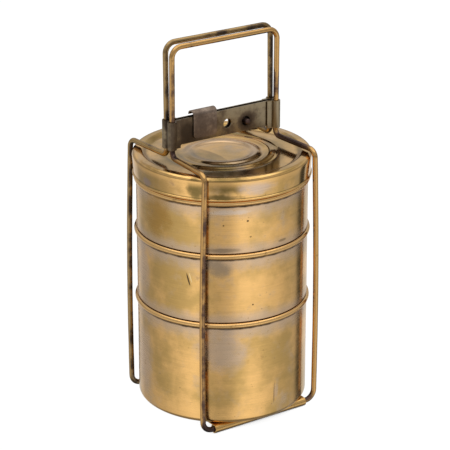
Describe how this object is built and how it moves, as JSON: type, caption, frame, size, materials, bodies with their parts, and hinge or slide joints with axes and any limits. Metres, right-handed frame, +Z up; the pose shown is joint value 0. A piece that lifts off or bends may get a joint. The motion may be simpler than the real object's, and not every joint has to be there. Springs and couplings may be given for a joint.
{
  "type": "tiffin carrier",
  "caption": "Stack of round brass food containers with a ringed lid, held in hinged wire loops that close into a carrying handle with a latch and lift-off clip.",
  "frame": {"origin": "on the ground under the middle of the stack of containers", "axes": "+Z up, X along the carrying handle and the latch, -Y towards the front loop"},
  "size_m": [0.1376, 0.1376, 0.3005],
  "materials": {
    "spun_brass": "satin spun brass with fine horizontal scratches, grey haze near the rims and brighter rolled rims",
    "lid_brass": "more polished brass with embossed rings, brown patina in the grooves",
    "golden_wire": "worn golden brass wire with dark patches",
    "dark_wire": "oxidised dark brown brass wire",
    "latch_brass": "oxidised dark brass sheet, rubbed lighter on its edges",
    "clip_brass": "dull grey-brown oxidised sheet"
  },
  "bodies": {
    "base": {"base_plate": "spun_brass"},
    "bottom_tier": {"bottom_container": "spun_brass"},
    "middle_tier": {"middle_container": "spun_brass"},
    "top_tier": {"top_container": "spun_brass"},
    "lid": {"lid": "lid_brass"},
    "front_frame": {"front_wire_loop": "golden_wire", "front_latch_leaf": "latch_brass"},
    "back_frame": {"back_wire_loop": "dark_wire", "back_latch_leaf": "latch_brass", "locating_peg": "latch_brass"},
    "clip": {"latch_clip": "clip_brass"}
  },
  "joints": [
    {"name": "front_frame_swing", "type": "hinge", "parent": "base", "child": "front_frame", "pos_m": [0, -0.0513, 0.00342], "axis": [1, 0, 0], "range_deg": [0, 90]},
    {"name": "back_frame_swing", "type": "hinge", "parent": "base", "child": "back_frame", "pos_m": [0, 0.0513, 0.00342], "axis": [-1, 0, 0], "range_deg": [0, 90]},
    {"name": "clip_lift", "type": "slide", "parent": "front_frame", "child": "clip", "axis": [0, 0, 1], "range_m": [0, 0.024]},
    {"name": "bottom_tier_turn", "type": "hinge", "parent": "base", "child": "bottom_tier", "pos_m": [0, 0, 0.04], "axis": [0, 0, 1], "continuous": true},
    {"name": "middle_tier_turn", "type": "hinge", "parent": "bottom_tier", "child": "middle_tier", "pos_m": [0, 0, 0.1], "axis": [0, 0, 1], "continuous": true},
    {"name": "top_tier_turn", "type": "hinge", "parent": "middle_tier", "child": "top_tier", "pos_m": [0, 0, 0.16], "axis": [0, 0, 1], "continuous": true},
    {"name": "lid_turn", "type": "hinge", "parent": "top_tier", "child": "lid", "pos_m": [0, 0, 0.2], "axis": [0, 0, 1], "continuous": true}
  ]
}
